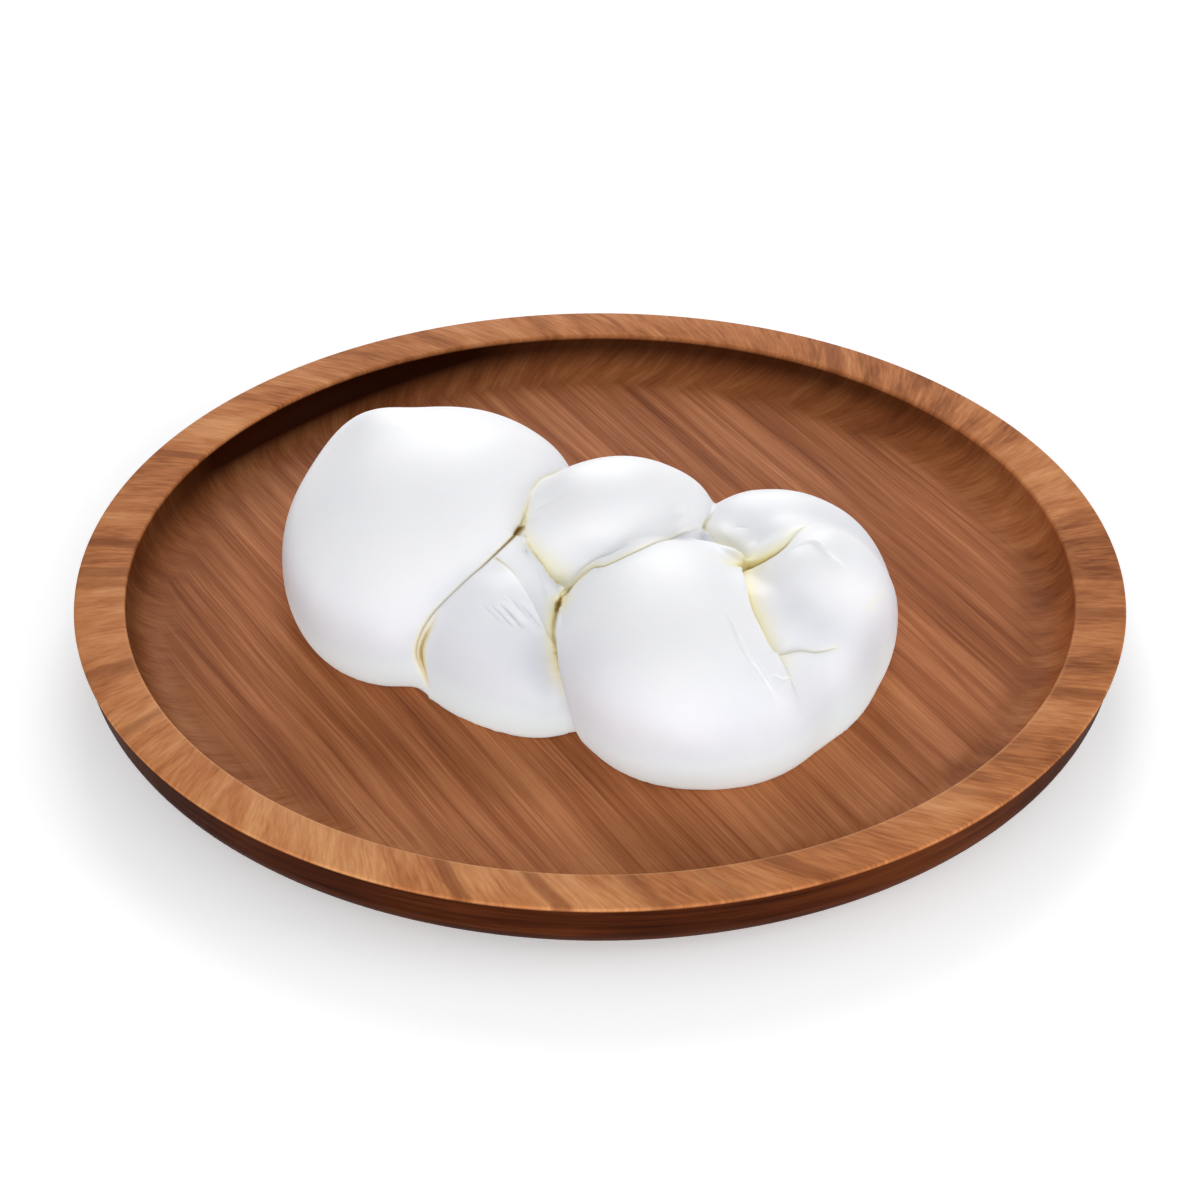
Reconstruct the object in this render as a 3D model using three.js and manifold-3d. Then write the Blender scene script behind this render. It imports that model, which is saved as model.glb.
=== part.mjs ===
// A braid of fresh mozzarella lying in a round wooden board with a sunken floor.
// Millimetres, +Z up, origin at the centre of the board's underside.

import * as THREE from 'three';
import { mergeVertices } from 'three/addons/utils/BufferGeometryUtils.js';
import Module from 'manifold-3d';

// Board: turned from one piece of wood
const BOARD_RADIUS = 140;
const BOARD_HEIGHT = 18;
const BOARD_SEGMENTS = 80;
const CURVE_STEPS = 6;
const EDGE_STEPS = 2;
const RIM_WIDTH = 13.5;
const EDGE_ROUND = 0.8;
const RECESS_DEPTH = 10;
const COVE_WIDTH = 11;
const SIDE_DEPTH = 7;
const SIDE_LEAN = 2;
const BASE_RADIUS = 124;
const FLOOR_HEIGHT = BOARD_HEIGHT - RECESS_DEPTH;

// Braid: rolls of pulled curd pressed into one another, in plan from the board's centre and with heights
// before the soft cheese sags on the recess floor. Each runs from its start through its bend to its end.
const ROLLS = {
  head: { start: [-12, 50, 12], bend: [-47, 15], end: [-44, -38, 19], halfWidth: 35, halfHeight: 27.5 },
  back: { start: [-19, -10, 27], bend: [1, 3], end: [24, 28, 17], halfWidth: 21.5, halfHeight: 26.5 },
  front: { start: [-25, 1, 18], bend: [-30, -23], end: [-4, -56, 19], halfWidth: 21.5, halfHeight: 20 },
  belly: { start: [-9, -42, 27], bend: [24, -43], end: [42, -35, 7], halfWidth: 40, halfHeight: 24 },
  upper: { start: [31, 18, 23], bend: [52, 2], end: [74, 0, 11], halfWidth: 21.5, halfHeight: 20.5 },
  tongue: { start: [38, -18, 29], bend: [54, -21], end: [73, -12, 15], halfWidth: 20, halfHeight: 24.5 },
  tail: { start: [51, 16, 16], bend: [60, -12], end: [49, -56, 9], halfWidth: 17.5, halfHeight: 18 },
};
const ROLL_AROUND = 26;
const ROLL_ALONG = 18;
const ROLL_BLUNTNESS = 2.3;
const ROLL_SINK = 0.9;
const SAG = 11;
const RESTING_GAP = 0.3;
const WELD_DISTANCE = 1e-4;

const wood = new THREE.MeshStandardMaterial({ color: '#b06c3c', roughness: 0.55, metalness: 0 });
const cheese = new THREE.MeshStandardMaterial({ color: '#f1f0ee', roughness: 0.4, metalness: 0 });

function arc(centre, radii, from, to, steps) {
  // Points of a quarter of an ellipse, angles in degrees
  const points = [];
  for (let i = 0; i <= steps; i += 1) {
    const angle = THREE.MathUtils.degToRad(from + ((to - from) * i) / steps);
    const radius = centre[0] + radii[0] * Math.cos(angle);
    const height = centre[1] + radii[1] * Math.sin(angle);
    points.push(new THREE.Vector2(radius, height));
  }
  return points;
}

function boardGeometry() {
  // The turned outline, from the middle of the underside round to the middle of the recess floor
  const sideFoot = BOARD_RADIUS - SIDE_LEAN;
  const sideZ = BOARD_HEIGHT - SIDE_DEPTH;
  const rimInner = BOARD_RADIUS - RIM_WIDTH;
  const rimRound = BOARD_HEIGHT - EDGE_ROUND;
  const edge = [EDGE_ROUND, EDGE_ROUND];
  const cove = [COVE_WIDTH, rimRound - FLOOR_HEIGHT];
  const outline = [
    new THREE.Vector2(0, 0),
    ...arc([BASE_RADIUS, sideZ], [sideFoot - BASE_RADIUS, sideZ], -90, 0, CURVE_STEPS),
    ...arc([BOARD_RADIUS - EDGE_ROUND, rimRound], edge, 0, 90, EDGE_STEPS),
    ...arc([rimInner + EDGE_ROUND, rimRound], edge, 90, 180, EDGE_STEPS),
    ...arc([rimInner - COVE_WIDTH, rimRound], cove, 0, -90, CURVE_STEPS).slice(1),
    new THREE.Vector2(0, FLOOR_HEIGHT),
  ];
  const geometry = new THREE.LatheGeometry(outline, BOARD_SEGMENTS);
  geometry.rotateX(Math.PI / 2);
  return geometry;
}

function signedPower(value, exponent) {
  return Math.sign(value) * Math.abs(value) ** exponent;
}

function rollGeometry(roll) {
  // A ball drawn out along the roll's bent path, with a full, blunt section and rounded ends
  const start = new THREE.Vector3(...roll.start);
  const bend = new THREE.Vector3(...roll.bend, ROLL_SINK * roll.halfHeight);
  const end = new THREE.Vector3(...roll.end);
  const control = bend.clone().multiplyScalar(2).addScaledVector(start, -0.5).addScaledVector(end, -0.5);
  const path = new THREE.QuadraticBezierCurve3(start, control, end);
  const up = new THREE.Vector3(0, 0, 1);
  const geometry = new THREE.SphereGeometry(1, ROLL_AROUND, ROLL_ALONG);
  const points = geometry.attributes.position;
  const point = new THREE.Vector3();
  for (let i = 0; i < points.count; i += 1) {
    point.fromBufferAttribute(points, i);
    const along = THREE.MathUtils.clamp((1 + point.y) / 2, 0, 1);
    const angle = Math.atan2(point.z, point.x);
    const fullness = Math.max(0, 1 - Math.abs(point.y) ** ROLL_BLUNTNESS) ** (1 / ROLL_BLUNTNESS);
    const tangent = path.getTangent(along);
    const side = new THREE.Vector3().crossVectors(tangent, up).normalize();
    const normal = new THREE.Vector3().crossVectors(side, tangent);
    const across = fullness * roll.halfWidth * signedPower(Math.cos(angle), 2 / ROLL_BLUNTNESS);
    const over = fullness * roll.halfHeight * signedPower(Math.sin(angle), 2 / ROLL_BLUNTNESS);
    point.copy(path.getPoint(along)).addScaledVector(side, across).addScaledVector(normal, over);
    points.setXYZ(i, point.x, point.y, point.z);
  }
  return geometry;
}

function solid(wasm, geometry) {
  const bare = geometry.clone();
  bare.deleteAttribute('normal');
  bare.deleteAttribute('uv');
  const merged = mergeVertices(bare, WELD_DISTANCE);
  const vertProperties = new Float32Array(merged.attributes.position.array);
  const triVerts = new Uint32Array(merged.index.array);
  return new wasm.Manifold(new wasm.Mesh({ numProp: 3, vertProperties, triVerts }));
}

function geometryOf(manifold) {
  const mesh = manifold.getMesh();
  const geometry = new THREE.BufferGeometry();
  geometry.setAttribute('position', new THREE.BufferAttribute(new Float32Array(mesh.vertProperties), 3));
  geometry.setIndex(new THREE.BufferAttribute(new Uint32Array(mesh.triVerts), 1));
  geometry.computeVertexNormals();
  return geometry;
}

async function braidGeometry() {
  // The rolls joined into one piece of cheese, flat where it rests on the recess floor
  const wasm = await Module();
  wasm.setup();
  let braid = null;
  for (const roll of Object.values(ROLLS)) {
    const shape = solid(wasm, rollGeometry(roll));
    braid = braid ? braid.add(shape) : shape;
  }
  const depth = BOARD_RADIUS;
  const below = new THREE.BoxGeometry(2 * BOARD_RADIUS, 2 * BOARD_RADIUS, depth);
  below.translate(0, 0, SAG - depth / 2);
  return geometryOf(braid.subtract(solid(wasm, below)));
}

const board = new THREE.Mesh(boardGeometry(), wood);
board.name = 'board';

const braid = new THREE.Mesh(await braidGeometry(), cheese);
braid.name = 'braid';
braid.position.z = FLOOR_HEIGHT + RESTING_GAP - SAG;

const group = new THREE.Group();
group.add(board, braid);

export default group;
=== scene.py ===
"""Looks of a braid of fresh mozzarella lying in a round wooden board.

The board is spun from its turned outline. The braid is fused from bent rolls of pulled curd, then softened
where they run together, creased where they press on one another, and marked with the folds of the skin.
Sizes are in millimetres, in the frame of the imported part, and become metres when a mesh is written.
"""

import logging
import math
from dataclasses import dataclass
from enum import Enum
from typing import Any, Dict, List, NamedTuple, Optional, Sequence, Tuple, Union

import bpy
import numpy as np
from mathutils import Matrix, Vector
from mathutils.bvhtree import BVHTree


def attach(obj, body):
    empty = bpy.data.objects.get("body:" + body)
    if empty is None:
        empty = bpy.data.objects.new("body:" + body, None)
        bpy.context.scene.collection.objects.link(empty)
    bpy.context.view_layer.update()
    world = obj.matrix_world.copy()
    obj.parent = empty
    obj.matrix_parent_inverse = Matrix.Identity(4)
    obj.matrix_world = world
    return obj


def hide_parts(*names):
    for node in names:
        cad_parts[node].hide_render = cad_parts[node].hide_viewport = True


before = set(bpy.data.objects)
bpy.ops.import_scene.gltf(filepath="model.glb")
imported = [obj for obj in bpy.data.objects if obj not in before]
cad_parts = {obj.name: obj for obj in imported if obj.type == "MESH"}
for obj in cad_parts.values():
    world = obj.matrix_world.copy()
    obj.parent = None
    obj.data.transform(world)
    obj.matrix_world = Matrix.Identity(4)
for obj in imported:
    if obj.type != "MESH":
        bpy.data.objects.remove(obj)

MM = 0.001
RESTING_GAP = 0.05
LOG = logging.getLogger("braid_on_board")

Pair = Tuple[float, float]
Triple = Tuple[float, float, float]
Path = Tuple[Triple, ...]
Shares = Tuple[float, ...]
Colour = Tuple[float, float, float, float]
Array = np.ndarray
Piece = bpy.types.Object
Operand = Union["Signal", float]


class Finish(Enum):
    """The record's material slots."""

    WOOD = "wood"
    CHEESE = "cheese"


def tint(red: int, green: int, blue: int) -> Colour:
    """Turns a colour as seen on a screen into the shader's linear one.

    Args:
        red: Red from 0 to 255.
        green: Green from 0 to 255.
        blue: Blue from 0 to 255.

    Returns:
        The linear colour with full alpha.
    """
    parts = [value / 255.0 for value in (red, green, blue)]
    linear = [p / 12.92 if p <= 0.04045 else ((p + 0.055) / 1.055) ** 2.4 for p in parts]
    return (linear[0], linear[1], linear[2], 1.0)


def ease(low: float, high: float, value: Array) -> Array:
    """Rises smoothly from 0 at low to 1 at high.

    Args:
        low: Value where the rise starts.
        high: Value where it ends, which may lie below low for a fall.
        value: Values to ease.

    Returns:
        The eased values, from 0 to 1.
    """
    share = np.clip((value - low) / (high - low), 0.0, 1.0)
    return share * share * (3.0 - 2.0 * share)


def bell(away: Array, radius: float) -> Array:
    """Falls off like a bell, from 1 where the distance is 0."""
    return np.exp(-((away / radius) ** 2))


def unit(vectors: Array) -> Array:
    """Brings vectors to length 1."""
    return vectors / np.linalg.norm(vectors, axis=1, keepdims=True)


def curve(path: Path, spacing: float) -> Array:
    """Draws a smooth curve through a path.

    Args:
        path: Where the curve passes.
        spacing: Distance between the points.

    Returns:
        Its points.
    """
    knots = np.array(path, float)
    knots = np.vstack([2.0 * knots[0] - knots[1], knots, 2.0 * knots[-1] - knots[-2]])
    found = []
    for a, b, c, d in zip(knots, knots[1:], knots[2:], knots[3:]):
        count = max(2, int(np.linalg.norm(c - b) / spacing))
        t = (np.arange(count) / count)[:, None]
        bow, twist = 2 * a - 5 * b + 4 * c - d, 3 * b - a - 3 * c + d
        found.append(0.5 * (2 * b + (c - a) * t + bow * t**2 + twist * t**3))
    return np.vstack([*found, knots[-2:-1]])


def nearest(points: Array, line: Array, parts: int = 60) -> Tuple[Array, Array]:
    """Finds the nearest point of a line for each point, a part at a time to spare memory.

    Args:
        points: The points.
        line: Points of the line.
        parts: Number of parts.

    Returns:
        The numbers of the line's points, and how far away they are.
    """
    numbers, squares = [], []
    for part in np.array_split(points, parts):
        square = ((part[:, None] - line[None]) ** 2).sum(axis=2)
        numbers.append(square.argmin(axis=1))
        squares.append(square.min(axis=1))
    return np.concatenate(numbers), np.sqrt(np.concatenate(squares))


class Signal:
    """An output socket of a shader graph that takes part in Python arithmetic."""

    def __init__(self, graph: "Graph", socket: bpy.types.NodeSocket) -> None:
        """Keeps the graph and its socket."""
        self.graph = graph
        self.socket = socket

    def math(self, operation: str, other: Operand = 0.0, swap: bool = False) -> "Signal":
        """Adds a Math node on this value.

        Args:
            operation: Blender's name of the operation.
            other: The second value.
            swap: Whether the second value comes first.

        Returns:
            The node's result.
        """
        first, second = (other, self) if swap else (self, other)
        return self.graph.node("ShaderNodeMath", {"operation": operation}, {0: first, 1: second})

    def __add__(self, other: Operand) -> "Signal":
        """Sum."""
        return self.math("ADD", other)

    __radd__ = __add__

    def __sub__(self, other: Operand) -> "Signal":
        """Difference."""
        return self.math("SUBTRACT", other)

    def __rsub__(self, other: float) -> "Signal":
        """Difference from a number."""
        return self.math("SUBTRACT", other, swap=True)

    def __mul__(self, other: Operand) -> "Signal":
        """Product."""
        return self.math("MULTIPLY", other)

    __rmul__ = __mul__

    def __truediv__(self, other: Operand) -> "Signal":
        """Quotient."""
        return self.math("DIVIDE", other)

    def __pow__(self, other: float) -> "Signal":
        """Power."""
        return self.math("POWER", other)

    def __abs__(self) -> "Signal":
        """Size without sign."""
        return self.math("ABSOLUTE")

    def ease(self, low: float, high: float) -> "Signal":
        """Rises smoothly from 0 at low to 1 at high.

        Args:
            low: Value where the rise starts.
            high: Value where it ends.

        Returns:
            The eased value.
        """
        settings = {"interpolation_type": "SMOOTHSTEP", "clamp": True}
        ends = {"Value": self, "From Min": low, "From Max": high, "To Min": 0.0, "To Max": 1.0}
        return self.graph.node("ShaderNodeMapRange", settings, ends)


Feed = Union[Signal, float, Sequence[float]]


class Graph:
    """The shader graph of one material."""

    def __init__(self, name: str) -> None:
        """Starts a material with a Principled shader.

        Args:
            name: Name of the material.
        """
        self.material = bpy.data.materials.new(name)
        self.material.use_nodes = True
        self.tree = self.material.node_tree
        self.shader = next(n for n in self.tree.nodes if n.bl_idname == "ShaderNodeBsdfPrincipled")

    def node(
        self,
        kind: str,
        settings: Optional[Dict[str, Any]] = None,
        inputs: Optional[Dict[Union[int, str], Feed]] = None,
        output: Union[int, str] = 0,
    ) -> Signal:
        """Adds a node.

        Args:
            kind: Blender's name of the node type.
            settings: The node's own settings; "stops" holds a ramp's places and colours.
            inputs: Values or links of its sockets.
            output: The output that is used.

        Returns:
            That output.
        """
        made = self.tree.nodes.new(kind)
        for key, value in (settings or {}).items():
            if key == "stops":
                self._stops(made, value)
            else:
                setattr(made, key, value)
        for key, value in (inputs or {}).items():
            self.feed(made.inputs[key], value)
        return Signal(self, made.outputs[output])

    @staticmethod
    def _stops(ramp: bpy.types.Node, stops: Sequence[Tuple[float, Colour]]) -> None:
        """Sets a ramp's stops.

        Args:
            ramp: The ramp's node.
            stops: Places and colours.
        """
        elements = ramp.color_ramp.elements
        while len(elements) < len(stops):
            elements.new(0.5)
        for element, (place, colour) in zip(elements, stops):
            element.position = place
            element.color = colour

    def feed(self, socket: bpy.types.NodeSocket, value: Feed) -> None:
        """Links a signal to a socket, or sets its value."""
        if isinstance(value, Signal):
            self.tree.links.new(value.socket, socket)
        else:
            socket.default_value = value

    def set(self, **values: Feed) -> None:
        """Feeds the shader's sockets, named with underscores for spaces."""
        for name, value in values.items():
            self.feed(self.shader.inputs[name.replace("_", " ")], value)

    def place(self) -> Tuple[Signal, Signal, Signal]:
        """The shaded point in millimetres.

        Returns:
            Its x, y and z.
        """
        point = self.node("ShaderNodeTexCoord", output="Object")
        return tuple(self.node("ShaderNodeSeparateXYZ", inputs={0: point}, output=k) / MM for k in range(3))

    def point(self, x: Feed, y: Feed, z: Feed) -> Signal:
        """Joins three values into a vector."""
        return self.node("ShaderNodeCombineXYZ", inputs={0: x, 1: y, 2: z})

    def cloud(self, x: Feed, y: Feed, z: Feed, detail: float = 2.0, roughness: float = 0.5) -> Signal:
        """Noise whose features are about one unit across.

        Args:
            x: First coordinate.
            y: Second coordinate.
            z: Third coordinate.
            detail: Octaves of finer noise.
            roughness: Weight of the finer octaves.

        Returns:
            Noise around 0.5.
        """
        inputs = {"Vector": self.point(x, y, z), "Scale": 1.0, "Detail": detail, "Roughness": roughness}
        return self.node("ShaderNodeTexNoise", {"noise_dimensions": "3D"}, inputs)

    def mix(self, share: Feed, first: Feed, second: Feed) -> Signal:
        """Mixes two colours.

        Args:
            share: How much of the second shows.
            first: First colour.
            second: Second colour.

        Returns:
            The mixed colour.
        """
        settings = {"data_type": "RGBA", "clamp_factor": True}
        return self.node("ShaderNodeMix", settings, {0: share, 6: first, 7: second}, output=2)

    def ramp(self, share: Signal, stops: Sequence[Tuple[float, Colour]]) -> Signal:
        """A colour ramp over a value."""
        return self.node("ShaderNodeValToRGB", {"stops": stops}, {0: share}, output="Color")

    def value(self, name: str) -> Signal:
        """A value painted on the mesh's vertices."""
        settings = {"attribute_type": "GEOMETRY", "attribute_name": name}
        return self.node("ShaderNodeAttribute", settings, output="Fac")

    def bump(self, height: Signal, strength: float, depth: float) -> Signal:
        """Roughens the surface.

        Args:
            height: Height of the roughness.
            strength: How strongly it shows.
            depth: Its depth in millimetres.

        Returns:
            The surface's normal.
        """
        inputs = {"Strength": strength, "Distance": depth * MM, "Height": height}
        return self.node("ShaderNodeBump", inputs=inputs)


class Spot(NamedTuple):
    """A shaded point of the board, with its distance from the board's axis."""

    x: Signal
    y: Signal
    z: Signal
    radius: Signal


@dataclass(frozen=True)
class Tones:
    """Dark, middle and light colours of a wooden surface."""

    dark: Colour
    middle: Colour
    light: Colour

    def stops(self) -> List[Tuple[float, Colour]]:
        """The tones as stops of a ramp."""
        return [(0.22, self.dark), (0.50, self.middle), (0.80, self.light)]


@dataclass(frozen=True)
class WoodFinish:
    """Oiled reddish-brown hardwood, with straight grain on the floor and grain across the rim."""

    board: "Board"
    floor: Tones = Tones(tint(117, 62, 36), tint(166, 98, 60), tint(208, 136, 89))
    rim: Tones = Tones(tint(136, 77, 45), tint(196, 124, 75), tint(227, 162, 107))
    cove: Tones = Tones(tint(110, 57, 30), tint(163, 95, 54), tint(204, 137, 86))
    # The side's tones are the same wood darkened with painted shade, as if the side stood in shadow.
    side: Tones = Tones(tint(40, 14, 4), tint(66, 28, 9), tint(92, 45, 18))
    # Colour of the shade painted into the cove under the rim.
    cove_shade: Colour = tint(40, 11, 0)
    # Colour of the highlight painted along the near half of the rim's inner edge.
    edge_highlight: Colour = tint(226, 172, 122)
    grain_angle: float = -60.0
    rim_skew: float = 0.7
    cove_waver: float = 9.0
    highlight_share: float = 0.35
    shine: float = 0.02
    relief_strength: float = 0.2
    relief_depth: float = 0.3

    def build(self) -> bpy.types.Material:
        """Makes the material.

        Returns:
            The wood material.
        """
        g = Graph("oiled_wood")
        x, y, z = g.place()
        radius = (x * x + y * y) ** 0.5
        spot = Spot(x, y, z, radius)
        floor_tone, floor_lines = self._floor_grain(g, spot)
        ring_tone, ring_bars = self._ring_grain(g, spot)
        shaded_side_tone = self._side_grain(g, spot)
        flat, inner, top = self.board.flat_radius, self.board.inner_radius, self.board.height
        ragged = radius + self.cove_waver * (g.cloud(x * 0.09, y * 0.09, 23.0) - 0.5)
        in_cove = ragged.ease(flat - 6.0, flat + 5.0)
        on_rim = radius.ease(inner - 0.6, inner + 0.3) * z.ease(top - 1.5, top - 0.7)
        on_side = radius.ease(inner, inner + 1.0) * (1.0 - z.ease(top - 1.2, top - 0.4))
        colour = g.mix(floor_lines, g.ramp(floor_tone, self.floor.stops()), self.floor.dark)
        cove = g.ramp(0.52 + 0.75 * (ring_tone - 0.5), self.cove.stops())
        # Painted shade in the cove, darkest at the back and the left.
        colour = self._shaded_cove(g, g.mix(in_cove, colour, cove), spot)
        rim = g.mix(ring_bars, g.ramp(ring_tone, self.rim.stops()), self.rim.dark)
        # Painted highlight: a bright line along the front half of the rim's inner edge.
        edge = (1.0 - abs(radius - inner - 0.3).ease(0.2, 0.9)) * (y / radius * -1.0).ease(0.0, 0.7)
        colour = g.mix(on_rim, colour, g.mix(edge * self.highlight_share, rim, self.edge_highlight))
        # Painted shade: the outer side takes the darkened side tones.
        colour = g.mix(on_side, colour, g.ramp(shaded_side_tone, self.side.stops()))
        relief = floor_tone * (1.0 - in_cove) + ring_tone * in_cove
        g.set(Base_Color=colour, Roughness=0.60 - 0.20 * relief, Specular_IOR_Level=self.shine)
        g.set(Normal=g.bump(relief, self.relief_strength, self.relief_depth))
        return g.material

    def _floor_grain(self, g: Graph, spot: Spot) -> Tuple[Signal, Signal]:
        """Straight, slightly wavy grain.

        Args:
            g: The graph.
            spot: The shaded point.

        Returns:
            The tone of the grain, and the share of its dark lines and pores.
        """
        x, y = spot.x, spot.y
        turn = math.radians(self.grain_angle)
        along = x * math.cos(turn) + y * math.sin(turn)
        across = y * math.cos(turn) - x * math.sin(turn)
        lane = across + 7.0 * (g.cloud(along * 0.007, across * 0.010, 3.0) - 0.5)
        fibre = g.cloud(lane * 1.3, along * 0.022, 0.0, detail=4.0, roughness=0.6)
        band = g.cloud(lane * 0.28, along * 0.008, 7.0, detail=3.0)
        broad = g.cloud(lane * 0.05, along * 0.006, 11.0)
        near = (y * -1.0).ease(55.0, 100.0)
        tone = 0.54 + 0.68 * (fibre - 0.5) + 0.6 * (band - 0.5) + 0.6 * (broad - 0.5) + 0.08 * near
        lines = g.cloud(lane * 0.8, along * 0.010, 31.0, detail=3.0).ease(0.59, 0.73)
        pores = g.cloud(lane * 2.4, along * 0.09, 41.0).ease(0.60, 0.72)
        return tone, lines * 0.48 + pores * 0.25

    def _ring_grain(self, g: Graph, spot: Spot) -> Tuple[Signal, Signal]:
        """Grain that crosses the rim and the cove, turning at the rim's inner edge.

        Args:
            g: The graph.
            spot: The shaded point.

        Returns:
            The tone of the grain, and the share of its dark bars and pores.
        """
        x, y, z, radius = spot
        middle = self.board.inner_radius
        out = (radius - middle) + 0.7 * (z - self.board.height)
        drift = 8.0 * (g.cloud(x * 0.04, y * 0.04, 17.0) - 0.5)
        lean = abs(y) / radius * (self.rim_skew / middle) * (abs(out) + drift)
        round_x = (x + lean * y) / radius * middle
        round_y = (y - lean * x) / radius * middle
        fibre = g.cloud(round_x, round_y, out * 0.14, detail=4.0, roughness=0.6)
        band = g.cloud(round_x * 0.16, round_y * 0.16, out * 0.06, detail=3.0)
        broad = g.cloud(round_x * 0.03, round_y * 0.03, 4.0)
        front = (y / radius * -1.0).ease(0.4, 1.0)
        tone = 0.5 + 0.6 * (fibre - 0.5) + 0.6 * (band - 0.5) + 0.7 * (broad - 0.5)
        tone = tone - 0.08 * (x / radius) + 0.1 * front
        bars = g.cloud(round_x * 0.09, round_y * 0.09, 9.0, detail=1.0).ease(0.62, 0.70)
        pores = g.cloud(round_x * 2.0, round_y * 2.0, out * 0.18).ease(0.60, 0.72)
        return tone, bars * 0.55 + pores * 0.15

    @staticmethod
    def _side_grain(g: Graph, spot: Spot) -> Signal:
        """Grain that runs round the board's side.

        Args:
            g: The graph.
            spot: The shaded point.

        Returns:
            The tone of the grain.
        """
        x, y, z, radius = spot
        streak = g.cloud(x / radius * 3.0, y / radius * 3.0, z * 0.5, detail=4.0, roughness=0.6)
        broad = g.cloud(x / radius * 2.0, y / radius * 2.0, 5.0)
        return 1.2 * (streak - 0.5) + broad

    def _shaded_cove(self, g: Graph, colour: Signal, spot: Spot) -> Signal:
        """Darkens the cove under the rim with painted shade, most at the back and the left.

        Args:
            g: The graph.
            colour: Colour of the cove.
            spot: The shaded point.

        Returns:
            The darkened colour.
        """
        x, y, z, radius = spot
        back = (y / radius).ease(0.1, 0.95)
        left = (x / radius * -1.0).ease(0.0, 0.9)
        rise = (z + 2.5 * left + back).ease(self.board.floor_height, self.board.height - 2.0)
        rise = rise * radius.ease(self.board.flat_radius - 20.0, self.board.flat_radius + 4.0)
        return g.mix(rise * (0.06 + 0.80 * back + 0.58 * left), colour, self.cove_shade)


@dataclass(frozen=True)
class CheeseFinish:
    """Moist white curd, yellowish in the folds, with painted shade where they close, in some hollows and on
    its lower part, and a painted glow strongest at its foot.
    """

    skin: Colour = tint(248, 248, 251)
    # Colour of the shade painted on the braid's lower part.
    shade: Colour = tint(214, 219, 229)
    cream: Colour = tint(250, 242, 202)
    whey: Colour = tint(216, 196, 106)
    # Painted shade: a blue-grey for faint patches and a dark brown where the folds close.
    faint_shade: Colour = tint(128, 126, 142)
    seam_shade: Colour = tint(134, 94, 8)
    # Cool tint painted on the foot to offset the wood's reddish bounce light; the foot glows with it.
    foot_light_tint: Colour = tint(226, 240, 243)
    shine: float = 0.30
    grain_strength: float = 0.10
    grain_depth: float = 0.4
    scatter: float = 0.4
    scatter_depth: float = 2.5
    scatter_radius: Triple = (1.0, 0.9, 0.8)
    # Strength of the painted glow, which is strongest at the foot.
    painted_glow: float = 0.33

    def build(self) -> bpy.types.Material:
        """Makes the material.

        Returns:
            The cheese material.
        """
        g = Graph("fresh_mozzarella")
        x, y, z = g.place()
        mottle = g.cloud(x * 0.05, y * 0.05, z * 0.05, detail=3.0)
        # Painted shade: the lower part turns greyer and bluer, with random mottling on top of it.
        low = 1.0 - z.ease(12.0, 46.0)
        colour = g.mix(low * 0.8 + 0.4 * (mottle - 0.5), self.skin, self.shade)
        # Painted light: the foot takes the cool tint that offsets the reddish bounce.
        foot = 1.0 - z.ease(8.0, 28.0)
        colour = g.mix(foot, colour, self.foot_light_tint)
        stain = g.value("stain")
        colour = g.mix(stain.ease(0.05, 0.75), colour, self.cream)
        colour = g.mix(stain.ease(0.55, 1.0), colour, self.whey)
        # Painted shade from the seams: blue-grey where faint, dark brown where folds close.
        seam_shade = g.value("seam_shade")
        colour = g.mix(seam_shade, colour, g.mix(seam_shade.ease(0.2, 0.5), self.faint_shade, self.seam_shade))
        grain = g.cloud(x * 0.9, y * 0.9, z * 0.9, detail=4.0, roughness=0.6)
        g.set(Base_Color=colour, Roughness=0.40 + 0.12 * mottle, Specular_IOR_Level=self.shine)
        g.set(Normal=g.bump(grain, self.grain_strength, self.grain_depth))
        g.set(Subsurface_Weight=self.scatter, Subsurface_Scale=self.scatter_depth * MM)
        # Painted light: the whole braid glows a little in its own colour, most at the foot, though it is no
        # lamp.
        g.set(Subsurface_Radius=self.scatter_radius, Emission_Strength=self.painted_glow)
        g.set(Emission_Color=g.mix(0.2 + 0.8 * foot, (0.0, 0.0, 0.0, 1.0), colour))
        return g.material


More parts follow.
